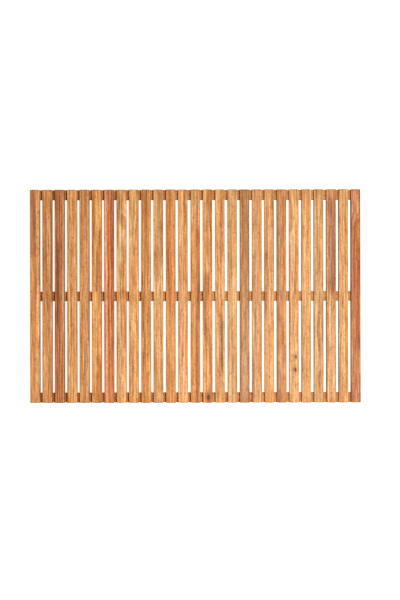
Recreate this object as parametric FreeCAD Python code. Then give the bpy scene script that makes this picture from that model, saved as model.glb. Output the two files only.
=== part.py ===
import FreeCAD, Part
import os

from FreeCAD import Vector

# A wooden duckboard bath mat. Narrow slats lie side by side with open drain gaps between
# them, and are screwed down from below onto three rails, which stand on rubber pads.
# +X runs along the rails, +Y along the slats and +Z up. The origin is on the floor, under
# the middle of the mat. All sizes are in millimetres.

# Deck slats
slat_count = 27
slat_width = 20.5
slat_thickness = 12.0
slat_length = 450.0
slat_gap = 5.5

# Rails under the deck, the outer two flush with the slats' ends
rail_width = 20.5
rail_thickness = 12.0

# Softened edges of the planed timber
long_edge_round = 1.5
sawn_end_ease = 0.8

# Rubber pads, each glued into a shallow socket in a rail's underside
pads_per_rail = 4
first_pad_gap = 2  # counted in from the end of the rail
pad_diameter = 14.0
pad_thickness = 3.5
pad_edge_ease = 0.6
pad_socket_depth = 1.0
pad_clearance = 0.2

# Countersunk wood screws, driven up through a rail into a slat
screw_shank_diameter = 3.5
screw_head_diameter = 7.0
screw_head_land = 0.3
screw_head_recess = 0.5  # how far the head is sunk into the rail's underside
screw_bite = 8.0  # length of screw held in the slat
screw_point_length = 3.0
screw_point_diameter = 0.6
screw_clearance = 0.1
pilot_end_clearance = 0.5
cross_slot_span = 3.8
cross_slot_width = 0.9
cross_slot_depth = 1.4

# Sizes that follow from those above
slat_pitch = slat_width + slat_gap
deck_length = slat_count * slat_width + (slat_count - 1) * slat_gap
rail_bottom = pad_thickness - pad_socket_depth
deck_bottom = rail_bottom + rail_thickness
outer_rail_y = (slat_length - rail_width) / 2
rails = {"back": outer_rail_y, "middle": 0.0, "front": -outer_rail_y}
screw_length = rail_thickness - screw_head_recess + screw_bite

TOLERANCE = 1e-6
UP = Vector(0, 0, 1)


def slat_x(number):
    """The middle of a slat across the mat; slat 1 is at the -X end."""
    return (number - (slat_count + 1) / 2) * slat_pitch


def gap_x(number):
    """The middle of a drain gap; gap 1 lies between slats 1 and 2."""
    return slat_x(number) + slat_pitch / 2


def pad_gaps():
    """The gaps under which the pads sit, evenly spread along a rail, so they miss the screws."""
    last_pad_gap = slat_count - first_pad_gap
    step = (last_pad_gap - first_pad_gap) / (pads_per_rail - 1)
    return [round(first_pad_gap + step * pad) for pad in range(pads_per_rail)]


def planed_bar(length, width, thickness):
    """A bar along Y, standing on z = 0, with rounded long edges and eased sawn ends."""
    corner = Vector(-width / 2, -length / 2, 0)
    bar = Part.makeBox(width, length, thickness, corner)
    long_edges = [edge for edge in bar.Edges if abs(edge.Length - length) < TOLERANCE]
    bar = bar.makeFillet(long_edge_round, long_edges)
    end_edges = []
    for edge in bar.Edges:
        offsets = [abs(abs(vertex.Y) - length / 2) for vertex in edge.Vertexes]
        if max(offsets) < TOLERANCE:
            end_edges.append(edge)
    return bar.makeChamfer(sawn_end_ease, end_edges)


def turned(outline):
    """A solid of revolution about Z from (radius, height) corners, first and last on the axis."""
    corners = [Vector(radius, 0, height) for radius, height in outline]
    face = Part.Face(Part.makePolygon(corners + corners[:1]))
    return face.revolve(Vector(0, 0, 0), UP, 360)


def make_slat():
    """A slat on z = 0 with a blind pilot hole up into it over each rail."""
    slat = planed_bar(slat_length, slat_width, slat_thickness)
    radius = screw_shank_diameter / 2 + screw_clearance
    depth = screw_bite + pilot_end_clearance
    holes = [Part.makeCylinder(radius, depth, Vector(0, y, 0)) for y in rails.values()]
    return slat.cut(holes)


def make_rail():
    """A rail along X on z = 0 with a countersunk hole under each slat and a socket per pad."""
    rail = planed_bar(deck_length, rail_width, rail_thickness)
    rail.rotate(Vector(0, 0, 0), UP, 90)
    shank_radius = screw_shank_diameter / 2 + screw_clearance
    head_radius = screw_head_diameter / 2 + screw_clearance
    sink_bottom = screw_head_recess + screw_head_land
    sink_top = sink_bottom + head_radius - shank_radius
    hole = turned(
        [
            (0, 0),
            (head_radius, 0),
            (head_radius, sink_bottom),
            (shank_radius, sink_top),
            (shank_radius, rail_thickness),
            (0, rail_thickness),
        ]
    )
    cuts = [hole.translated(Vector(slat_x(number), 0, 0)) for number in range(1, slat_count + 1)]
    socket_radius = pad_diameter / 2 + pad_clearance
    for gap in pad_gaps():
        cuts.append(Part.makeCylinder(socket_radius, pad_socket_depth, Vector(gap_x(gap), 0, 0)))
    return rail.cut(cuts)


def make_screw():
    """A wood screw, point up, with the underside of its head on z = 0 and a cross recess."""
    shank_radius = screw_shank_diameter / 2
    head_radius = screw_head_diameter / 2
    screw = turned(
        [
            (0, 0),
            (head_radius, 0),
            (head_radius, screw_head_land),
            (shank_radius, screw_head_land + head_radius - shank_radius),
            (shank_radius, screw_length - screw_point_length),
            (screw_point_diameter / 2, screw_length),
            (0, screw_length),
        ]
    )
    span = cross_slot_span
    width = cross_slot_width
    slots = [
        Part.makeBox(span, width, cross_slot_depth, Vector(-span / 2, -width / 2, 0)),
        Part.makeBox(width, span, cross_slot_depth, Vector(-width / 2, -span / 2, 0)),
    ]
    return screw.cut(slots)


def make_pad():
    """A rubber pad on z = 0, with the edge that meets the floor eased."""
    radius = pad_diameter / 2
    return turned(
        [
            (0, 0),
            (radius - pad_edge_ease, 0),
            (radius, pad_edge_ease),
            (radius, pad_thickness),
            (0, pad_thickness),
        ]
    )


def write(name, shape):
    """One STEP file per sub-part, named after it."""
    shape.exportStep(os.path.join("parts", name + ".step"))


os.makedirs("parts", exist_ok=True)

slat = make_slat()
for number in range(1, slat_count + 1):
    write(f"slat_{number:02d}", slat.translated(Vector(slat_x(number), 0, deck_bottom)))

rail = make_rail()
screw = make_screw()
pad = make_pad()
screw_bottom = rail_bottom + screw_head_recess
for place, y in rails.items():
    write(f"rail_{place}", rail.translated(Vector(0, y, rail_bottom)))

    row = []
    for number in range(1, slat_count + 1):
        row.append(screw.translated(Vector(slat_x(number), y, screw_bottom)))
    write(f"screws_{place}", Part.makeCompound(row))

    for number, gap in enumerate(pad_gaps(), start=1):
        write(f"pad_{place}_{number}", pad.translated(Vector(gap_x(gap), y, 0)))
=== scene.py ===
import math
import random

import bmesh
import bpy
from mathutils import Matrix, Vector


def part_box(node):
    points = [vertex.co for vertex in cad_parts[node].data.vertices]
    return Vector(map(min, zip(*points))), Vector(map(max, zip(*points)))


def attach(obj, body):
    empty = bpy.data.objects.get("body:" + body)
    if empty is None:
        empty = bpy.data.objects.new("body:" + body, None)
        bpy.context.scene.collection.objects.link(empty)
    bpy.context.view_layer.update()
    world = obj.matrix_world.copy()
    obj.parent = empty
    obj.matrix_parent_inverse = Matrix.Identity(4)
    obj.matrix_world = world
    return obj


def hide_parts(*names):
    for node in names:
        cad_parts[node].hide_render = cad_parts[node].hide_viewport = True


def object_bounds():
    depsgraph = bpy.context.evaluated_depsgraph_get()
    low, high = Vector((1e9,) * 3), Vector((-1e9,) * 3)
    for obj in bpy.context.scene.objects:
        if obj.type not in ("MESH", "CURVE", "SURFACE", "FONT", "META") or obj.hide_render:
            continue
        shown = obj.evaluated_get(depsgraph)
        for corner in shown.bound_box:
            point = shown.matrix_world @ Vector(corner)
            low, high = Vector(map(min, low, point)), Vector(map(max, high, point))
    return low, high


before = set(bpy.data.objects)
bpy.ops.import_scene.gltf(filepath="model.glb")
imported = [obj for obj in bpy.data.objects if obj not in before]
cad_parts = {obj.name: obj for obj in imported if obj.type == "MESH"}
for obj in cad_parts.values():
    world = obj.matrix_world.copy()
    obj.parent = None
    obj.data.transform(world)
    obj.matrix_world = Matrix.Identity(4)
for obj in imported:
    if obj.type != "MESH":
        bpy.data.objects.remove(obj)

cad_low, cad_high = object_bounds()

# ---------------------------------------------------------------------------------------
# Rails. Three lengths of planed, oiled acacia lie under the deck, across all the slats.
# Each is countersunk from below for a screw per slat and has a shallow socket per pad.
# ---------------------------------------------------------------------------------------
MM = 0.001
LONG_EDGE_ROUND = 1.5 * MM
LONG_EDGE_STEPS = 5
SAWN_END_EASE = 1.0 * MM
SAWN_END_STEPS = 3
SCREW_SINK_RADIUS = 3.6 * MM
SCREW_SHANK_RADIUS = 1.85 * MM
SCREW_SINK_MOUTH = 0.8 * MM
SCREW_HOLE_DEPTH = 8 * MM
PAD_SOCKET_RADIUS = 7.2 * MM
PAD_SOCKET_DEPTH = 1.0 * MM
CUTTER_OVERHANG = 1 * MM
TURNED_SIDES = 24
STRAIGHT = 0.999
RAIL_RING_STEP = 6 * MM
RAIL_PLACES = ("back", "middle", "front")
SLAT_COUNT = 27
PADS_PER_RAIL = 4
SMOOTH_ANGLE = math.radians(35)

# How often each pattern of the timber repeats in a metre: across, along and through it.
SLOW_SWAY = (24, 8, 24)
QUICK_SWAY = (120, 15, 120)
FIBRE_PITCH = (310, 4.5, 310)
FLECK_PITCH = (330, 24, 330)
CURL_PITCH = (130, 240, 130)
PORE_PITCH = (470, 120, 470)
MOTTLE_PITCH = (75, 16, 75)
STREAK_EDGE_PITCH = (60, 9, 60)
STREAK_GRAIN_PITCH = (260, 6, 260)
KNOT_EDGE_PITCH = (300, 200, 300)

# How far the timber's patterns sway, turn and fray. A knot lies in the top face of its slat.
SWAY_GAIN = 3.0
QUICK_SWAY_REACH = 3 * MM
VEINS_PER_BAND = 1.7
CURL_TURN = 0.5
STREAK_RAGGED = 7 * MM
STREAK_RAGGED_ENDS = 60 * MM
KNOT_RAGGED = 1.6 * MM
KNOT_RISE = 6 * MM
KNOT_PUSH = 0.85
KNOT_SQUEEZE = (1.0, 0.55, 0.25)
SEED_DRIFT = 0.37
STREAK_SEED_STEP = 3.1

# How strongly each pattern colours, lightens, raises or roughens the timber.
LIGHT_SWINGS = (("Fibres", 0.5), ("Flecks", 0.34), ("Curl", 0.14), ("Mottle", -0.06))
GREEN_POWER = 1.3
BLUE_POWER = 1.7
GLOW_DEPTH = 0.36
VEIN_DEPTH = 0.5
PORE_DEPTH = 0.5
KNOT_HALO = 0.55
KNOT_CORE = 0.8
# Rounded edges are paled partly for wear and partly as a painted highlight where the rounding catches the
# light.
EDGE_WEAR_AND_PAINTED_HIGHLIGHT = 0.3
# Painted shade: the upright sides of every bar are darkened toward the vein colour, as if little light
# reached them.
SIDE_PAINTED_SHADE = 0.62
# Sawn ends are darkened partly because end grain takes more oil and partly as painted shade on the eased
# ends.
END_GRAIN_AND_PAINTED_SHADE = 0.5
FIBRE_RISE = 0.6
PORE_SINK = 0.7
VEIN_SINK = 0.12
GRAIN_BUMP = 0.5
GRAIN_RELIEF = 0.1 * MM
OILED_SHINE = 0.18
OILED_ROUGHNESS = 0.52
PORE_ROUGHER = 0.2
BAND_SMOOTHER = 0.06
END_ROUGHER = 0.25

RAIL_SHADE = 0.92
RAIL_MARKED = 0.45
RAIL_SEED = 40


def linear(red, green, blue):
    """A linear colour from display values between 0 and 255."""
    parts = [value / 255 for value in (red, green, blue)]
    return [v / 12.92 if v <= 0.04045 else ((v + 0.055) / 1.055) ** 2.4 for v in parts] + [1.0]


def alone(piece):
    """Selects one object and nothing else."""
    bpy.ops.object.select_all(action="DESELECT")
    piece.select_set(True)
    bpy.context.view_layer.objects.active = piece


def pick_edges(piece, wanted):
    """In edit mode, selects only the edges whose two ends, as vectors, are wanted."""
    bpy.ops.mesh.select_mode(type="EDGE")
    bpy.ops.mesh.select_all(action="DESELECT")
    shape = bmesh.from_edit_mesh(piece.data)
    for edge in shape.edges:
        edge.select_set(wanted(edge.verts[0].co, edge.verts[1].co))
    bmesh.update_edit_mesh(piece.data)


def pick_end_face(piece, facing):
    """In edit mode, selects only the one face that looks straight along a direction."""
    bpy.ops.mesh.select_mode(type="FACE")
    bpy.ops.mesh.select_all(action="DESELECT")
    shape = bmesh.from_edit_mesh(piece.data)
    for face in shape.faces:
        face.select_set(face.normal.dot(facing) > STRAIGHT)
    bmesh.update_edit_mesh(piece.data)


def planed_bar(name, low, high, along, step):
    """A bar between two corners: long edges rounded, sawn ends eased, ringed every step."""
    size = high - low
    way = Vector([float(axis == along) for axis in range(3)])
    middle = (low + high) / 2
    bpy.ops.object.select_all(action="DESELECT")
    bpy.ops.mesh.primitive_cube_add(size=1, location=middle, scale=size - 2 * SAWN_END_EASE * way)
    bar = bpy.context.object
    bar.name = bar.data.name = name
    bpy.ops.object.transform_apply(location=True, rotation=True, scale=True)
    bpy.ops.object.mode_set(mode="EDIT")
    pick_edges(bar, lambda a, b: abs((b - a).normalized().dot(way)) > STRAIGHT)
    bpy.ops.mesh.bevel(offset=LONG_EDGE_ROUND, segments=LONG_EDGE_STEPS, profile=0.5, affect="EDGES")
    pick_edges(bar, lambda a, b: abs((b - a).dot(way)) > size[along] / 2)
    bpy.ops.mesh.subdivide(number_cuts=round(size[along] / step))
    for end in (-1, 1):
        centre = middle + end * way * size[along] / 2
        pick_end_face(bar, end * way)
        inward, outward = 0, 0
        for part in range(1, SAWN_END_STEPS + 1):
            angle = math.radians(90 * part / SAWN_END_STEPS)
            further = SAWN_END_EASE * math.sin(angle) - outward
            smaller = SAWN_END_EASE * (1 - math.cos(angle)) - inward
            bpy.ops.mesh.extrude_region_move(TRANSFORM_OT_translate={"value": end * further * way})
            across = [side - 2 * inward for side in size]
            ratio = [1 if axis == along else 1 - 2 * smaller / across[axis] for axis in range(3)]
            bpy.ops.transform.resize(value=ratio, center_override=centre)
            inward += smaller
            outward += further
    bpy.ops.object.mode_set(mode="OBJECT")
    return bar


def cut(piece, cutters):
    """Takes the cutters' shapes out of a piece, and removes the cutters."""
    bpy.ops.object.select_all(action="DESELECT")
    for cutter in cutters:
        cutter.select_set(True)
    bpy.context.view_layer.objects.active = cutters[0]
    bpy.ops.object.join()
    joined = bpy.context.object
    alone(piece)
    hollow = piece.modifiers.new("Holes", "BOOLEAN")
    hollow.operation = "DIFFERENCE"
    hollow.solver = "EXACT"
    hollow.object = joined
    bpy.ops.object.modifier_apply(modifier=hollow.name)
    bpy.data.objects.remove(joined)


def turned_shape(outline, place):
    """A turned shape about the upright axis at a place, from rings of (radius, height)."""
    bpy.ops.object.select_all(action="DESELECT")
    radius, height = outline[0]
    start = place + Vector((0, 0, height))
    bpy.ops.mesh.primitive_circle_add(
        vertices=TURNED_SIDES, radius=radius, fill_type="NGON", location=start
    )
    shape = bpy.context.object
    bpy.ops.object.transform_apply(location=True, rotation=True, scale=True)
    bpy.ops.object.mode_set(mode="EDIT")
    bpy.ops.mesh.select_all(action="SELECT")
    for next_radius, next_height in outline[1:]:
        bpy.ops.mesh.extrude_region_move(TRANSFORM_OT_translate={"value": (0, 0, next_height - height)})
        if next_radius != radius:
            ratio = next_radius / radius
            centre = place + Vector((0, 0, next_height))
            bpy.ops.transform.resize(value=(ratio, ratio, 1), center_override=centre)
        radius, height = next_radius, next_height
    bpy.ops.mesh.select_all(action="SELECT")
    bpy.ops.mesh.normals_make_consistent(inside=False)
    bpy.ops.object.mode_set(mode="OBJECT")
    return shape


def add(tree, kind, settings, feeds):
    """A shader node with its settings made and each input linked or given a value."""
    node = tree.nodes.new("ShaderNode" + kind)
    for name, value in settings.items():
        setattr(node, name, value)
    for key, value in feeds.items():
        if isinstance(value, bpy.types.NodeSocket):
            tree.links.new(value, node.inputs[key])
        else:
            node.inputs[key].default_value = value
    return node


def calc(tree, operation, *terms):
    """A Math node's result."""
    return add(tree, "Math", {"operation": operation}, dict(enumerate(terms))).outputs[0]


def vector_calc(tree, operation, *terms):
    """A Vector Math node's vector result."""
    return add(tree, "VectorMath", {"operation": operation}, dict(enumerate(terms))).outputs[0]


def ease(tree, value, low, high, to_low=0.0, to_high=1.0):
    """A value turned smoothly from one range into another, and held at its ends."""
    feeds = {0: value, 1: low, 2: high, 3: to_low, 4: to_high}
    return add(tree, "MapRange", {"interpolation_type": "SMOOTHSTEP"}, feeds).outputs[0]


def mix_colour(tree, amount, under, over, blend="MIX"):
    """Two colours mixed."""
    settings = {"data_type": "RGBA", "blend_type": blend}
    return add(tree, "Mix", settings, {0: amount, 6: under, 7: over}).outputs[2]


def tint(tree, mask, depth, under, over):
    """One colour laid over another where a mask says, up to a depth."""
    return mix_colour(tree, calc(tree, "MULTIPLY", mask, depth), under, over)


def blank_material(name):
    """A new material and its empty node tree."""
    made = bpy.data.materials.new(name)
    made.use_nodes = True
    made.node_tree.nodes.clear()
    return made, made.node_tree


def end_in_surface(tree, feeds):
    """Ends a material's tree in one Principled surface."""
    shader = add(tree, "BsdfPrincipled", {}, feeds)
    surface = add(tree, "OutputMaterial", {}, {"Surface": shader.outputs[0]})
    surface.is_active_output = True


def noise(tree, place, stretch, detail, roughness=0.5):
    """A Noise Texture on a place that is first stretched per axis."""
    spot = vector_calc(tree, "MULTIPLY", place, stretch)
    feeds = {"Vector": spot, "Scale": 1.0, "Detail": detail, "Roughness": roughness}
    return add(tree, "TexNoise", {"noise_dimensions": "3D"}, feeds)


def new_group(name, inputs, outputs):
    """An empty node group, with what goes into it and what comes out of it."""
    group = bpy.data.node_groups.new(name, "ShaderNodeTree")
    for label, kind, value in inputs:
        socket = group.interface.new_socket(label, in_out="INPUT", socket_type="NodeSocket" + kind)
        socket.default_value = value
    for label, kind in outputs:
        group.interface.new_socket(label, in_out="OUTPUT", socket_type="NodeSocket" + kind)
    source = group.nodes.new("NodeGroupInput").outputs
    target = group.nodes.new("NodeGroupOutput").inputs
    return group, source, target


def make_grain_group():
    """Solid timber along the Y axis: growth bands round a pith, veins, fibres, flecks, pores."""
    group, source, target = new_group(
        "timber_grain",
        [
            ("Place", "Vector", (0, 0, 0)),
            ("Seed", "Float", 0.0),
            ("Pith Across", "Float", 0.0),
            ("Pith Below", "Float", 0.03),
            ("Lean", "Float", 0.0),
            ("Band Width", "Float", 0.004),
            ("Waver", "Float", 0.004),
        ],
        [("Bands", "Float"), ("Veins", "Float"), ("Fibres", "Float"), ("Flecks", "Float"),
         ("Curl", "Float"), ("Pores", "Float"), ("Mottle", "Float"), ("Height", "Float")],
    )
    drift = calc(group, "MULTIPLY", source["Seed"], SEED_DRIFT)
    shift = add(group, "CombineXYZ", {}, {0: source["Seed"], 1: drift})
    spot = vector_calc(group, "ADD", source["Place"], shift.outputs[0])
    place = add(group, "SeparateXYZ", {}, {0: source["Place"]})

    slow = add(group, "SeparateXYZ", {}, {0: noise(group, spot, SLOW_SWAY, 2).outputs["Color"]})
    quick = calc(group, "SUBTRACT", noise(group, spot, QUICK_SWAY, 2).outputs[0], 0.5)
    swing = calc(group, "MULTIPLY", source["Waver"], SWAY_GAIN)
    across = calc(group, "MULTIPLY_ADD", place.outputs[1], source["Lean"], place.outputs[0])
    across = calc(group, "SUBTRACT", across, source["Pith Across"])
    across = calc(group, "MULTIPLY_ADD", calc(group, "SUBTRACT", slow.outputs[0], 0.5), swing, across)
    below = calc(group, "ADD", place.outputs[2], source["Pith Below"])
    below = calc(group, "MULTIPLY_ADD", calc(group, "SUBTRACT", slow.outputs[1], 0.5), swing, below)
    sides = calc(group, "ADD", calc(group, "POWER", across, 2.0), calc(group, "POWER", below, 2.0))
    reach = calc(group, "MULTIPLY_ADD", quick, QUICK_SWAY_REACH, calc(group, "SQRT", sides))
    count = calc(group, "DIVIDE", reach, source["Band Width"])

    feeds = {"W": calc(group, "ADD", count, source["Seed"]), "Scale": 1.0, "Detail": 3.0, "Roughness": 0.65}
    bands = add(group, "TexNoise", {"noise_dimensions": "1D"}, feeds).outputs[0]
    feeds = {"W": calc(group, "MULTIPLY", count, VEINS_PER_BAND), "Scale": 1.0, "Detail": 2.0}
    fine = add(group, "TexNoise", {"noise_dimensions": "1D"}, feeds).outputs[0]
    feeds = {"Vector": spot, "Rotation": (0, 0, CURL_TURN)}
    turned = add(group, "Mapping", {"vector_type": "POINT"}, feeds).outputs[0]
    fibres = noise(group, spot, FIBRE_PITCH, 3, 0.65).outputs[0]
    flecks = noise(group, spot, FLECK_PITCH, 2, 0.6).outputs[0]
    curl = noise(group, turned, CURL_PITCH, 2, 0.6).outputs[0]
    pores = noise(group, spot, PORE_PITCH, 2, 0.6).outputs[0]
    mottle = noise(group, spot, MOTTLE_PITCH, 3, 0.6).outputs[0]
    pore_mask = ease(group, pores, 0.58, 0.68)
    vein_mask = ease(group, fine, 0.5, 0.72)
    group.links.new(ease(group, bands, 0.34, 0.66), target["Bands"])
    group.links.new(vein_mask, target["Veins"])
    group.links.new(ease(group, fibres, 0.34, 0.66), target["Fibres"])
    group.links.new(ease(group, flecks, 0.35, 0.65), target["Flecks"])
    group.links.new(ease(group, curl, 0.3, 0.7), target["Curl"])
    group.links.new(pore_mask, target["Pores"])
    group.links.new(ease(group, mottle, 0.34, 0.66), target["Mottle"])
    height = calc(group, "MULTIPLY_ADD", pore_mask, -PORE_SINK, calc(group, "MULTIPLY", fibres, FIBRE_RISE))
    height = calc(group, "MULTIPLY_ADD", vein_mask, -VEIN_SINK, height)
    group.links.new(height, target["Height"])
    return group


def make_streak_group():
    """A long streak of other-coloured wood between two points, soft and ragged at its edges."""
    group, source, target = new_group(
        "long_streak",
        [
            ("Place", "Vector", (0, 0, 0)),
            ("Seed", "Float", 0.0),
            ("Start Across", "Float", 0.0),
            ("Start Along", "Float", 0.1),
            ("End Across", "Float", 0.0),
            ("End Along", "Float", -0.1),
            ("Width", "Float", 0.004),
            ("Fade", "Float", 0.03),
        ],
        [("Mask", "Float")],
    )
    shift = add(group, "CombineXYZ", {}, {0: source["Seed"], 2: source["Seed"]})
    spot = vector_calc(group, "ADD", source["Place"], shift.outputs[0])
    place = add(group, "SeparateXYZ", {}, {0: source["Place"]})
    feeds = {0: place.outputs[1]}
    for socket, label in enumerate(("Start Along", "End Along", "Start Across", "End Across"), start=1):
        feeds[socket] = source[label]
    line = add(group, "MapRange", {"interpolation_type": "LINEAR"}, feeds).outputs[0]
    ragged = calc(group, "SUBTRACT", noise(group, spot, STREAK_EDGE_PITCH, 3, 0.6).outputs[0], 0.5)
    line = calc(group, "MULTIPLY_ADD", ragged, STREAK_RAGGED, line)
    off = calc(group, "ABSOLUTE", calc(group, "SUBTRACT", place.outputs[0], line))
    beside = calc(group, "DIVIDE", off, source["Width"])
    body = ease(group, beside, 0.25, 0.75, 1.0, 0.0)
    head = calc(group, "SUBTRACT", source["Start Along"], place.outputs[1])
    foot = calc(group, "SUBTRACT", place.outputs[1], source["End Along"])
    inside = calc(group, "MULTIPLY_ADD", ragged, STREAK_RAGGED_ENDS, calc(group, "MINIMUM", head, foot))
    window = ease(group, calc(group, "DIVIDE", inside, source["Fade"]), -0.5, 0.5)
    grainy = ease(group, noise(group, spot, STREAK_GRAIN_PITCH, 2).outputs[0], 0.25, 0.6, 0.45, 1.0)
    mask = calc(group, "MULTIPLY", calc(group, "MULTIPLY", body, window), grainy)
    group.links.new(mask, target["Mask"])
    return group


def make_knot_group():
    """A small knot: grain pushed aside round it, a dark core and a darker rim."""
    group, source, target = new_group(
        "small_knot",
        [("Place", "Vector", (0, 0, 0)), ("Centre", "Vector", (0, 0, 0)), ("Radius", "Float", 0.003)],
        [("Pushed", "Vector"), ("Core", "Float"), ("Halo", "Float")],
    )
    away = vector_calc(group, "SUBTRACT", source["Place"], source["Centre"])
    rough = noise(group, source["Place"], KNOT_EDGE_PITCH, 2).outputs[0]
    squeezed = vector_calc(group, "MULTIPLY", away, KNOT_SQUEEZE)
    oval = add(group, "VectorMath", {"operation": "LENGTH"}, {0: squeezed})
    fray = calc(group, "SUBTRACT", rough, 0.5)
    spread = calc(group, "MULTIPLY_ADD", fray, KNOT_RAGGED, oval.outputs["Value"])
    share = calc(group, "DIVIDE", spread, source["Radius"])
    near = calc(group, "DIVIDE", 1.0, calc(group, "MULTIPLY_ADD", share, share, 1.0))
    aside = vector_calc(group, "MULTIPLY", away, (1.0, 0.0, 1.0))
    feeds = {0: aside, "Scale": calc(group, "MULTIPLY", near, -KNOT_PUSH)}
    push = add(group, "VectorMath", {"operation": "SCALE"}, feeds)
    group.links.new(vector_calc(group, "ADD", source["Place"], push.outputs[0]), target["Pushed"])
    group.links.new(ease(group, share, 0.5, 1.0, 1.0, 0.0), target["Core"])
    group.links.new(ease(group, share, 0.8, 2.6, 1.0, 0.0), target["Halo"])
    return group


def make_edge_group():
    """Masks for a planed bar: its rounded edges (wear and a painted highlight), its sides (painted shade)
    and its sawn ends (end grain and painted shade).
    """
    outputs = [("Edge", "Float"), ("Side", "Float"), ("End", "Float")]
    group, source, target = new_group("bar_edges", [("Grain Axis", "Vector", (0, 1, 0))], outputs)
    facing = add(group, "NewGeometry", {}, {}).outputs["Normal"]
    size = add(group, "SeparateXYZ", {}, {0: vector_calc(group, "ABSOLUTE", facing)})
    group.links.new(ease(group, size.outputs[2], 0.78, 0.99, 1.0, 0.0), target["Edge"])
    group.links.new(ease(group, size.outputs[2], 0.3, 0.8, 1.0, 0.0), target["Side"])
    along = add(group, "VectorMath", {"operation": "DOT_PRODUCT"}, {0: facing, 1: source["Grain Axis"]})
    group.links.new(ease(group, calc(group, "ABSOLUTE", along.outputs["Value"]), 0.2, 0.6), target["End"])
    return group


GRAIN = make_grain_group()
STREAK = make_streak_group()
KNOT = make_knot_group()
EDGES = make_edge_group()

# Tones of the oiled timber: its pale wood, its deep wood and its dark veins.
TONES = {
    "honey": (linear(240, 182, 118), linear(222, 150, 84), linear(178, 100, 46)),
    "amber": (linear(238, 170, 100), linear(214, 138, 68), linear(168, 88, 34)),
    "tan": (linear(228, 168, 110), linear(206, 134, 74), linear(154, 86, 42)),
    "russet": (linear(218, 142, 90), linear(172, 94, 50), linear(96, 40, 20)),
    "straw": (linear(242, 188, 126), linear(228, 164, 98), linear(192, 122, 66)),
}
GLOW = linear(230, 138, 60)
PORE = linear(122, 66, 30)
STAINS = {
    "cream": linear(250, 208, 150),
    "peach": linear(238, 172, 124),
    "orange": linear(214, 108, 46),
    "red": linear(160, 66, 36),
    "umber": linear(120, 66, 36),
    "mauve": linear(160, 98, 72),
    "plum": linear(92, 36, 28),
}


def shaded(colour, shade):
    """A colour made lighter or darker."""
    return [part * shade for part in colour[:3]] + [1.0]


def timber(name, tone, shade, grain, seed, middle, turn=0.0, marked=1.0, streaks=(), knots=()):
    """The material of one length of timber, whose grain runs along Y before a turn about Z.

    The shade makes its tone lighter or darker, and marked says how strongly its figure shows.
    """
    pale, deep, vein = [shaded(colour, shade) for colour in TONES[tone]]
    made, tree = blank_material(name)
    spot = add(tree, "TexCoord", {}, {}).outputs["Object"]
    spot = vector_calc(tree, "SUBTRACT", spot, middle)
    feeds = {"Vector": spot, "Rotation": (0, 0, turn)}
    spot = add(tree, "Mapping", {"vector_type": "POINT"}, feeds).outputs[0]

    blots = []
    for along, across, radius in knots:
        feeds = {"Place": spot, "Centre": (across * MM, along * MM, KNOT_RISE), "Radius": radius * MM}
        knot = add(tree, "Group", {"node_tree": KNOT}, feeds)
        spot = knot.outputs["Pushed"]
        blots.append(knot)

    feeds = {"Place": spot, "Seed": seed}
    feeds.update({label: value * MM for label, value in grain.items() if label != "Lean"})
    feeds["Lean"] = grain["Lean"]
    figure = add(tree, "Group", {"node_tree": GRAIN}, feeds).outputs

    colour = mix_colour(tree, figure["Bands"], pale, deep)
    colour = tint(tree, figure["Mottle"], GLOW_DEPTH, colour, shaded(GLOW, shade))
    for order, (stain, start, end, width, strength) in enumerate(streaks):
        feeds = {"Place": spot, "Seed": seed + STREAK_SEED_STEP * order}
        feeds.update({"Start Along": start[0] * MM, "Start Across": start[1] * MM})
        feeds.update({"End Along": end[0] * MM, "End Across": end[1] * MM, "Width": width * MM})
        mask = add(tree, "Group", {"node_tree": STREAK}, feeds).outputs["Mask"]
        stained = shaded(STAINS[stain], shade)
        colour = tint(tree, mask, strength, colour, stained)
    colour = tint(tree, figure["Veins"], VEIN_DEPTH * marked, colour, vein)
    light = 1.0
    for part, depth in LIGHT_SWINGS:
        light = calc(tree, "MULTIPLY_ADD", calc(tree, "SUBTRACT", figure[part], 0.5), depth * marked, light)
    green = calc(tree, "POWER", light, GREEN_POWER)
    blue = calc(tree, "POWER", light, BLUE_POWER)
    richer = add(tree, "CombineColor", {}, {0: light, 1: green, 2: blue}).outputs[0]
    colour = mix_colour(tree, 1.0, colour, richer, "MULTIPLY")
    colour = tint(tree, figure["Pores"], PORE_DEPTH * marked, colour, PORE)
    for knot in blots:
        colour = tint(tree, knot.outputs["Halo"], KNOT_HALO, colour, vein)
        colour = tint(tree, knot.outputs["Core"], KNOT_CORE, colour, STAINS["plum"])

    axis = (math.sin(turn), math.cos(turn), 0)
    bar = add(tree, "Group", {"node_tree": EDGES}, {"Grain Axis": axis}).outputs
    # Rounded edges paler: partly wear, partly a painted highlight where the rounding catches the light.
    colour = tint(tree, bar["Edge"], EDGE_WEAR_AND_PAINTED_HIGHLIGHT, colour, pale)
    # Painted shade: sides and the outer part of the rounding darkened toward the vein colour.
    colour = tint(tree, bar["Side"], SIDE_PAINTED_SHADE, colour, vein)
    # Sawn ends darker: partly end grain that takes more oil, partly painted shade on the eased ends.
    colour = tint(tree, bar["End"], END_GRAIN_AND_PAINTED_SHADE, colour, vein)

    roughness = calc(tree, "MULTIPLY_ADD", figure["Pores"], PORE_ROUGHER, OILED_ROUGHNESS)
    roughness = calc(tree, "MULTIPLY_ADD", figure["Bands"], -BAND_SMOOTHER, roughness)
    roughness = calc(tree, "MULTIPLY_ADD", bar["End"], END_ROUGHER, roughness)
    feeds = {"Strength": GRAIN_BUMP, "Distance": GRAIN_RELIEF, "Height": figure["Height"]}
    bump = add(tree, "Bump", {}, feeds)
    feeds = {"Base Color": colour, "Roughness": roughness, "Normal": bump.outputs[0]}
    feeds["Specular IOR Level"] = OILED_SHINE
    end_in_surface(tree, feeds)
    return made


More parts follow.
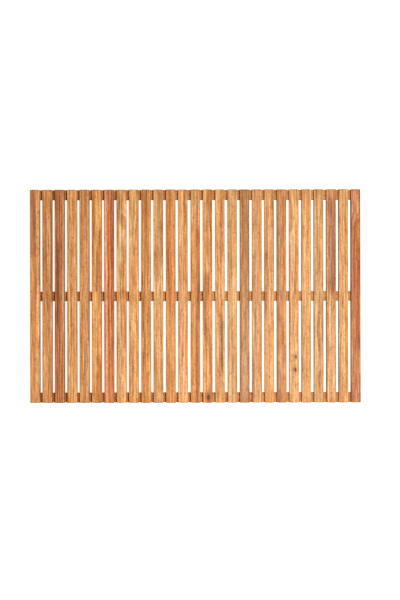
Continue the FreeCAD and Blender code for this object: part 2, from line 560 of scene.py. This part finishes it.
def dress(piece, material, slot, *nodes):
    """Gives a finished piece its material and stands it in for its CAD nodes."""
    piece.data.materials.clear()
    piece.data.materials.append(material)
    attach(piece, "root")
    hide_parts(*nodes)


def copy_of(piece, name, offset):
    """A copy of a piece with its own mesh, moved by an offset."""
    twin = piece.copy()
    twin.data = piece.data.copy()
    twin.name = twin.data.name = name
    bpy.context.scene.collection.objects.link(twin)
    twin.data.transform(Matrix.Translation(offset))
    return twin


slat_middles = {}
for number in range(1, SLAT_COUNT + 1):
    low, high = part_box(f"slat_{number:02d}")
    slat_middles[number] = (low + high) / 2

rail_low, rail_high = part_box("rail_back")
rail_middle = (rail_low + rail_high) / 2
pattern_rail = planed_bar("rail_pattern", rail_low, rail_high, 0, RAIL_RING_STEP)
cutters = []
sink = [
    (SCREW_SINK_RADIUS, -CUTTER_OVERHANG),
    (SCREW_SINK_RADIUS, SCREW_SINK_MOUTH),
    (SCREW_SHANK_RADIUS, SCREW_SINK_MOUTH + SCREW_SINK_RADIUS - SCREW_SHANK_RADIUS),
    (SCREW_SHANK_RADIUS, SCREW_HOLE_DEPTH),
]
for middle in slat_middles.values():
    cutters.append(turned_shape(sink, Vector((middle.x, rail_middle.y, rail_low.z))))
socket = [(PAD_SOCKET_RADIUS, -CUTTER_OVERHANG), (PAD_SOCKET_RADIUS, PAD_SOCKET_DEPTH)]
for number in range(1, PADS_PER_RAIL + 1):
    low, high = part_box(f"pad_back_{number}")
    cutters.append(turned_shape(socket, Vector(((low.x + high.x) / 2, rail_middle.y, rail_low.z))))
cut(pattern_rail, cutters)
alone(pattern_rail)
bpy.ops.object.shade_smooth_by_angle(angle=SMOOTH_ANGLE)

rail_grain = {
    "back": {"Pith Across": 14, "Pith Below": 26, "Band Width": 5, "Waver": 5, "Lean": 0.01},
    "middle": {"Pith Across": -30, "Pith Below": 8, "Band Width": 4, "Waver": 4, "Lean": -0.008},
    "front": {"Pith Across": 4, "Pith Below": 40, "Band Width": 5, "Waver": 6, "Lean": 0.012},
}
for order, place in enumerate(RAIL_PLACES):
    low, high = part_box(f"rail_{place}")
    rail = copy_of(pattern_rail, f"cross_rail_{place}", low - rail_low)
    middle = (low + high) / 2
    material = timber(
        f"acacia_rail_{place}", "tan", RAIL_SHADE, rail_grain[place], RAIL_SEED + order, middle,
        turn=math.pi / 2, marked=RAIL_MARKED,
    )
    dress(rail, material, "rail_acacia", f"rail_{place}")
bpy.data.objects.remove(pattern_rail)

# ---------------------------------------------------------------------------------------
# Deck slats. Twenty-seven lengths of the same timber, planed, rounded along their edges
# and sawn to length, lie side by side with a drain gap between them. No two look alike.
# ---------------------------------------------------------------------------------------
SLAT_RING_STEP = 5 * MM
SLAT_TRIM = 0.6 * MM
SLAT_TURN = math.radians(0.03)
SLAT_ASIDE = 0.2 * MM
SLAT_CHANCE = 27
SLAT_SLOTS = {tone: f"{tone}_acacia" for tone in TONES}


def slat(tone, shade, pith, lean=0.0, band=4.5, waver=4, streaks=(), knots=()):
    """One slat's timber. Lengths are in millimetres, along it from its middle and across it."""
    grain = {"Pith Across": pith[0], "Pith Below": pith[1]}
    grain.update({"Band Width": band, "Waver": waver, "Lean": lean})
    return {"tone": tone, "shade": shade, "grain": grain, "streaks": streaks, "knots": knots}


# A streak is its stain, its start and its end as (along, across), its width and its strength.
# A knot is its place along and across, and its radius.
slats = [
    slat(
        "tan", 1.1, (-16, 20), 0.01,
        streaks=[
            ("mauve", (225, -3), (80, -5), 12, 0.6),
            ("cream", (225, 8), (-200, 8), 4, 0.45),
        ],
    ),
    slat(
        "tan", 1.1, (18, 30), 0.03,
        streaks=[
            ("plum", (180, 9), (-10, 9), 3, 0.7),
            ("umber", (200, -6), (60, -4), 6, 0.2),
        ],
    ),
    slat(
        "russet", 1.0, (-30, 6), 0.0, 3.5,
        streaks=[
            ("peach", (225, 8), (-80, 8), 5, 0.8),
            ("plum", (110, -3), (-60, -4), 6, 0.6),
            ("orange", (225, 0), (60, 1), 4, 0.5),
        ],
    ),
    slat("honey", 1.05, (24, 10), 0.005, 4, streaks=[("orange", (225, 5), (90, 6), 4, 0.25)]),
    slat(
        "tan", 1.0, (-26, 14), 0.0, 4,
        streaks=[
            ("orange", (150, 5), (40, 5), 3, 0.5),
            ("peach", (220, 0), (-200, 2), 8, 0.3),
        ],
    ),
    slat("amber", 1.05, (10, 34), -0.02, 5),
    slat(
        "russet", 1.15, (-24, 5), 0.005, 4,
        streaks=[
            ("peach", (225, -7), (-225, -6), 8, 0.75),
            ("orange", (200, 2), (-225, 3), 9, 0.6),
            ("red", (225, 5), (60, 6), 7, 0.6),
        ],
    ),
    slat(
        "honey", 1.0, (2, 14), 0.015, 4, 6,
        streaks=[
            ("umber", (225, -3), (150, -2), 14, 0.4),
            ("cream", (140, 2), (70, -3), 11, 0.75),
            ("umber", (60, -4), (-120, 3), 2.5, 0.5),
        ],
    ),
    slat("honey", 1.05, (-12, 28), 0.02, 5, streaks=[("umber", (225, 4), (120, -4), 5, 0.3)]),
    slat("amber", 0.95, (20, 22), -0.01, 4.5, streaks=[("umber", (225, 0), (20, 3), 10, 0.2)]),
    slat(
        "honey", 0.95, (-4, 18), 0.03, 4.5, 6,
        streaks=[
            ("umber", (225, 2), (70, 4), 10, 0.3),
            ("cream", (60, 7), (-30, -6), 4, 0.7),
        ],
    ),
    slat("amber", 1.0, (34, 8), 0.0, 5, 2, streaks=[("orange", (180, 2), (-40, 0), 12, 0.4)]),
    slat(
        "honey", 1.05, (-20, 24), 0.01, 5,
        streaks=[
            ("peach", (40, -3), (-225, 0), 12, 0.5),
            ("mauve", (225, -7), (30, -8), 4, 0.4),
        ],
    ),
    slat(
        "amber", 0.95, (14, 12), 0.008, 4,
        streaks=[
            ("cream", (225, -2), (150, -4), 12, 0.4),
            ("red", (140, 6), (-225, 4), 8, 0.65),
            ("plum", (20, 6), (-60, 7), 4, 0.5),
        ],
    ),
    slat("amber", 0.98, (-8, 36), -0.012, 5.5, 3, knots=[(-213, 1, 4.5)]),
    slat("honey", 1.0, (6, 16), 0.012, 4, 6, streaks=[("umber", (-40, 3), (-160, 5), 5, 0.85)]),
    slat("straw", 0.9, (-28, 20), 0.004, 6, 2),
    slat(
        "tan", 0.78, (3, 20), -0.02, 4.5, 6,
        streaks=[
            ("umber", (225, 0), (60, 2), 10, 0.25),
            ("peach", (-20, 0), (-225, 1), 14, 0.4),
        ],
    ),
    slat("honey", 0.9, (22, 16), 0.01, 5, streaks=[("peach", (225, 4), (-225, 2), 8, 0.4)]),
    slat(
        "honey", 1.0, (-6, 26), 0.015, 4.5,
        streaks=[
            ("cream", (225, 0), (-60, 1), 4, 0.4),
            ("umber", (225, -6), (60, -4), 3, 0.35),
        ],
    ),
    slat("tan", 0.92, (12, 30), -0.015, 5, streaks=[("orange", (20, -3), (-120, -2), 6, 0.45)]),
    slat(
        "straw", 1.0, (-10, 12), 0.006, 4.5, 5,
        streaks=[("umber", (150, 3), (10, 3), 2.5, 0.45)],
        knots=[
            (-128, 3, 3.2),
            (-155, 2, 3.4),
        ],
    ),
    slat("straw", 1.0, (26, 26), 0.0, 6, 2),
    slat("straw", 0.9, (-18, 30), 0.018, 5, streaks=[("umber", (170, 2), (40, -1), 3, 0.3)]),
    slat(
        "tan", 1.08, (16, 10), -0.01, 4.5,
        streaks=[
            ("mauve", (215, 1), (10, 2), 17, 0.75),
            ("cream", (0, 0), (-225, 0), 14, 0.3),
        ],
    ),
    slat("straw", 1.0, (-30, 18), 0.006, 4, 3, streaks=[("umber", (225, 5), (-60, 4), 2.5, 0.25)]),
    slat(
        "russet", 1.0, (8, 10), 0.03, 4, 6,
        streaks=[
            ("peach", (225, -2), (170, 0), 16, 0.7),
            ("orange", (120, 5), (20, -2), 6, 0.6),
            ("plum", (0, 6), (-100, 6), 4, 0.6),
            ("peach", (-120, -3), (-225, 2), 10, 0.5),
        ],
    ),
]

low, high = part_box("slat_01")
pattern_slat = planed_bar("slat_pattern", low, high, 1, SLAT_RING_STEP)
alone(pattern_slat)
bpy.ops.object.shade_smooth_by_angle(angle=SMOOTH_ANGLE)
chance = random.Random(SLAT_CHANCE)
for number, timber_facts in enumerate(slats, start=1):
    middle = slat_middles[number]
    piece = copy_of(pattern_slat, f"deck_slat_{number:02d}", -slat_middles[1])
    shorter = 1 - chance.uniform(0, SLAT_TRIM) / (high.y - low.y)
    piece.data.transform(Matrix.Diagonal((1, shorter, 1, 1)))
    piece.data.transform(Matrix.Rotation(chance.uniform(-SLAT_TURN, SLAT_TURN), 4, "Z"))
    aside = chance.uniform(-SLAT_ASIDE, SLAT_ASIDE) if 1 < number < SLAT_COUNT else 0
    piece.data.transform(Matrix.Translation(middle + Vector((aside, 0, 0))))
    material = timber(
        f"acacia_slat_{number:02d}", timber_facts["tone"], timber_facts["shade"], timber_facts["grain"],
        float(number), middle,
        streaks=timber_facts["streaks"], knots=timber_facts["knots"],
    )
    dress(piece, material, SLAT_SLOTS[timber_facts["tone"]], f"slat_{number:02d}")
bpy.data.objects.remove(pattern_slat)

# ---------------------------------------------------------------------------------------
# Screws. One countersunk steel screw with a cross recess holds each slat to each rail. It
# is driven up through the rail from below, and its head sits just inside the underside.
# ---------------------------------------------------------------------------------------
SCREW_HEAD_RADIUS = 3.5 * MM
SCREW_HEAD_LAND = 0.3 * MM
SCREW_HEAD_RIM = 0.12 * MM
SCREW_CORE_RADIUS = 1.25 * MM
SCREW_CREST_RADIUS = 1.75 * MM
SCREW_SHANK_START = 4 * MM
SCREW_POINT = 3 * MM
THREAD_PITCH = 1.5 * MM
CROSS_LENGTH = 3.8 * MM
CROSS_WIDTH = 0.9 * MM
CROSS_DEPTH = 1.4 * MM
THREAD_ROOT_AT = 0.3
THREAD_CREST_AT = 0.8
SCREW_TIP_SHARE = 0.2
SCREW_SMOOTH_ANGLE = math.radians(30)
STEEL_ROUGHNESS = 0.3
STEEL_STAIN_PITCH = (420, 420, 420)
STEEL_STAIN_DEPTH = 0.35
STEEL_STAIN_SHADE = 0.55
STEEL_STAIN_ROUGHER = 0.2
SCRATCH_PITCH = (900, 6000, 6000)
SCRATCH_BUMP = 0.4
SCRATCH_RELIEF = 0.02 * MM


def metal(name, colour, roughness, scratch):
    """Turned steel with fine scratches and a slight stain."""
    made, tree = blank_material(name)
    spot = add(tree, "TexCoord", {}, {}).outputs["Object"]
    stain = ease(tree, noise(tree, spot, STEEL_STAIN_PITCH, 3).outputs[0], 0.35, 0.7)
    lines = noise(tree, spot, SCRATCH_PITCH, 2).outputs[0]
    tinted = tint(tree, stain, STEEL_STAIN_DEPTH, colour, shaded(colour, STEEL_STAIN_SHADE))
    rough = calc(tree, "MULTIPLY_ADD", stain, STEEL_STAIN_ROUGHER, roughness)
    feeds = {"Strength": scratch, "Distance": SCRATCH_RELIEF, "Height": lines}
    bump = add(tree, "Bump", {}, feeds)
    feeds = {"Base Color": tinted, "Roughness": rough, "Normal": bump.outputs[0], "Metallic": 1.0}
    end_in_surface(tree, feeds)
    return made


def screw_outline(length):
    """A screw's rings of (radius, height) from its head up to its point, its thread as ridges."""
    rings = [
        (SCREW_HEAD_RADIUS - SCREW_HEAD_RIM, 0),
        (SCREW_HEAD_RADIUS, SCREW_HEAD_RIM),
        (SCREW_HEAD_RADIUS, SCREW_HEAD_LAND),
        (SCREW_CREST_RADIUS, SCREW_HEAD_LAND + SCREW_HEAD_RADIUS - SCREW_CREST_RADIUS),
        (SCREW_CREST_RADIUS, SCREW_SHANK_START),
    ]
    height = SCREW_SHANK_START
    while height + THREAD_PITCH < length - SCREW_POINT:
        rings.append((SCREW_CORE_RADIUS, height + THREAD_ROOT_AT * THREAD_PITCH))
        rings.append((SCREW_CREST_RADIUS, height + THREAD_CREST_AT * THREAD_PITCH))
        height += THREAD_PITCH
    rings.append((SCREW_CORE_RADIUS, length - SCREW_POINT))
    rings.append((SCREW_TIP_SHARE * SCREW_CORE_RADIUS, length))
    return rings


steel = metal("zinc_steel", linear(196, 196, 192), STEEL_ROUGHNESS, SCRATCH_BUMP)
low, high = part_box("screws_back")
screw_start = Vector((slat_middles[1].x, (low.y + high.y) / 2, low.z))
pattern_screw = turned_shape(screw_outline(high.z - low.z), screw_start)
slots = []
for size in ((CROSS_LENGTH, CROSS_WIDTH, 2 * CROSS_DEPTH), (CROSS_WIDTH, CROSS_LENGTH, 2 * CROSS_DEPTH)):
    bpy.ops.object.select_all(action="DESELECT")
    bpy.ops.mesh.primitive_cube_add(size=1, location=screw_start, scale=size)
    bpy.ops.object.transform_apply(location=True, rotation=True, scale=True)
    slots.append(bpy.context.object)
for slot in slots:
    cut(pattern_screw, [slot])
alone(pattern_screw)
bpy.ops.object.shade_smooth_by_angle(angle=SCREW_SMOOTH_ANGLE)
for place in RAIL_PLACES:
    low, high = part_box(f"screws_{place}")
    start = Vector((0, (low.y + high.y) / 2 - screw_start.y, low.z - screw_start.z))
    screws = copy_of(pattern_screw, f"countersunk_screws_{place}", start)
    alone(screws)
    row = screws.modifiers.new("Row", "ARRAY")
    row.count = SLAT_COUNT
    row.use_relative_offset = False
    row.use_constant_offset = True
    row.constant_offset_displace = slat_middles[2] - slat_middles[1]
    bpy.ops.object.modifier_apply(modifier=row.name)
    dress(screws, steel, "screw_steel", f"screws_{place}")
bpy.data.objects.remove(pattern_screw)

# ---------------------------------------------------------------------------------------
# Grip pads. Twelve round rubber feet, four to a rail, are glued into shallow sockets.
# Each has two moulded ring grooves in its sole and a softened rim, so that it holds.
# ---------------------------------------------------------------------------------------
PAD_EDGE = 0.6 * MM
GROOVE_DEPTH = 0.5 * MM
GROOVE_SLOPE = 0.3 * MM
GROOVE_WIDTH = 0.9 * MM
GROOVE_RADII = (1.6 * MM, 4.1 * MM)
PAD_EDGE_STEPS = 3
RUBBER_ROUGHNESS = 0.72
RUBBER_SHINE = 0.35
DUST = linear(96, 92, 88)
DUST_PITCH = (160, 160, 160)
DUST_DEPTH = 0.4
DUST_ROUGHER = 0.15
PEBBLE_PITCH = (2600, 2600, 2600)
PEBBLE_BUMP = 0.4
PEBBLE_RELIEF = 0.06 * MM


def rubber(name, colour):
    """Moulded rubber: dull, dusty in patches, with a fine pebbled skin."""
    made, tree = blank_material(name)
    spot = add(tree, "TexCoord", {}, {}).outputs["Object"]
    dust = ease(tree, noise(tree, spot, DUST_PITCH, 3, 0.6).outputs[0], 0.4, 0.75)
    pebble = noise(tree, spot, PEBBLE_PITCH, 2).outputs[0]
    tinted = tint(tree, dust, DUST_DEPTH, colour, DUST)
    rough = calc(tree, "MULTIPLY_ADD", dust, DUST_ROUGHER, RUBBER_ROUGHNESS)
    feeds = {"Strength": PEBBLE_BUMP, "Distance": PEBBLE_RELIEF, "Height": pebble}
    bump = add(tree, "Bump", {}, feeds)
    feeds = {"Base Color": tinted, "Roughness": rough, "Normal": bump.outputs[0]}
    feeds["Specular IOR Level"] = RUBBER_SHINE
    end_in_surface(tree, feeds)
    return made


def foot(low, high):
    """The middle of a box's underside."""
    return Vector(((low.x + high.x) / 2, (low.y + high.y) / 2, low.z))


low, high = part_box("pad_back_1")
pad_start = foot(low, high)
pad_radius = (high.x - low.x) / 2
rings = []
for radius in GROOVE_RADII:
    rings.append((radius, 0))
    rings.append((radius + GROOVE_SLOPE, GROOVE_DEPTH))
    rings.append((radius + GROOVE_SLOPE + GROOVE_WIDTH, GROOVE_DEPTH))
    rings.append((radius + 2 * GROOVE_SLOPE + GROOVE_WIDTH, 0))
for part in range(PAD_EDGE_STEPS + 1):
    angle = math.radians(90 * part / PAD_EDGE_STEPS)
    radius = pad_radius - PAD_EDGE + PAD_EDGE * math.sin(angle)
    rings.append((radius, PAD_EDGE - PAD_EDGE * math.cos(angle)))
rings.append((pad_radius, high.z - low.z))
pattern_pad = turned_shape(rings, pad_start)
alone(pattern_pad)
bpy.ops.object.shade_smooth_by_angle(angle=SMOOTH_ANGLE)
black_rubber = rubber("black_rubber", linear(44, 43, 42))
for place in RAIL_PLACES:
    for number in range(1, PADS_PER_RAIL + 1):
        node = f"pad_{place}_{number}"
        low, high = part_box(node)
        step = foot(low, high) - pad_start
        pad = copy_of(pattern_pad, f"grip_pad_{place}_{number}", step)
        dress(pad, black_rubber, "grip_rubber", node)
bpy.data.objects.remove(pattern_pad)

# ---------------------------------------------------------------------------------------
# The studio: a pale floor that throws back less light than it shows, one softbox high over
# the mat's right half, a weak fill from all round, and a camera straight above the deck.
# ---------------------------------------------------------------------------------------
FLOOR_SIZE = 60.0
FLOOR_SEEN = (0.8, 0.8, 0.8, 1)
FLOOR_BOUNCE = (0.45, 0.43, 0.4, 1)
FLOOR_GLOW = (0.96, 0.92, 0.83, 1)
FLOOR_ROUGHNESS = 0.9
FLOOR_SHINE = 0.1
FILL = 0.16
AIR = (1, 1, 1, 1)
bpy.ops.object.select_all(action="DESELECT")
bpy.ops.mesh.primitive_plane_add(size=FLOOR_SIZE, location=(0, 0, 0))
floor = bpy.context.object
floor.name = "studio_floor"
paint, paint_tree = blank_material("studio_floor_paint")
seen = add(paint_tree, "LightPath", {}, {}).outputs["Is Camera Ray"]
feeds = {
    "Base Color": mix_colour(paint_tree, seen, FLOOR_BOUNCE, FLOOR_SEEN),
    "Roughness": FLOOR_ROUGHNESS,
    "Specular IOR Level": FLOOR_SHINE,
    "Emission Color": FLOOR_GLOW,
    "Emission Strength": seen,
}
end_in_surface(paint_tree, feeds)
floor.data.materials.append(paint)

world = bpy.data.worlds.new("studio_air")
world.use_nodes = True
air = world.node_tree.nodes["Background"]
seen = add(world.node_tree, "LightPath", {}, {}).outputs["Is Camera Ray"]
strength = calc(world.node_tree, "ADD", seen, FILL)
world.node_tree.links.new(strength, air.inputs["Strength"])
air.inputs["Color"].default_value = AIR
bpy.context.scene.world = world

SOFTBOX_SIZE = 0.25
SOFTBOX_POWER = 21
SOFTBOX_PLACE = (0.30, -0.15, 1.55)
key = bpy.data.lights.new("softbox", "AREA")
key.shape = "SQUARE"
key.size = SOFTBOX_SIZE
key.energy = SOFTBOX_POWER
key_light = bpy.data.objects.new("softbox", key)
key_light.location = SOFTBOX_PLACE
key_light.rotation_euler = (-key_light.location).to_track_quat("-Z", "Y").to_euler()
bpy.context.scene.collection.objects.link(key_light)

VIEW_HEIGHT = 1.2631
CAMERA_RISE = 2.1
CAMERA_ASIDE = (0.0097, -0.008)
CAMERA_ROLL = math.radians(-0.1)
SENSOR_WIDTH = 36
SIGHT_END = 100
lens = bpy.data.cameras.new("camera")
lens.sensor_width = SENSOR_WIDTH
lens.lens = lens.sensor_width * CAMERA_RISE / VIEW_HEIGHT
lens.clip_end = SIGHT_END
camera = bpy.data.objects.new("camera", lens)
camera.location = (*CAMERA_ASIDE, cad_high.z + CAMERA_RISE)
camera.rotation_euler = (0, 0, CAMERA_ROLL)
bpy.context.scene.collection.objects.link(camera)
bpy.context.scene.camera = camera
bpy.context.scene.view_settings.view_transform = "Standard"
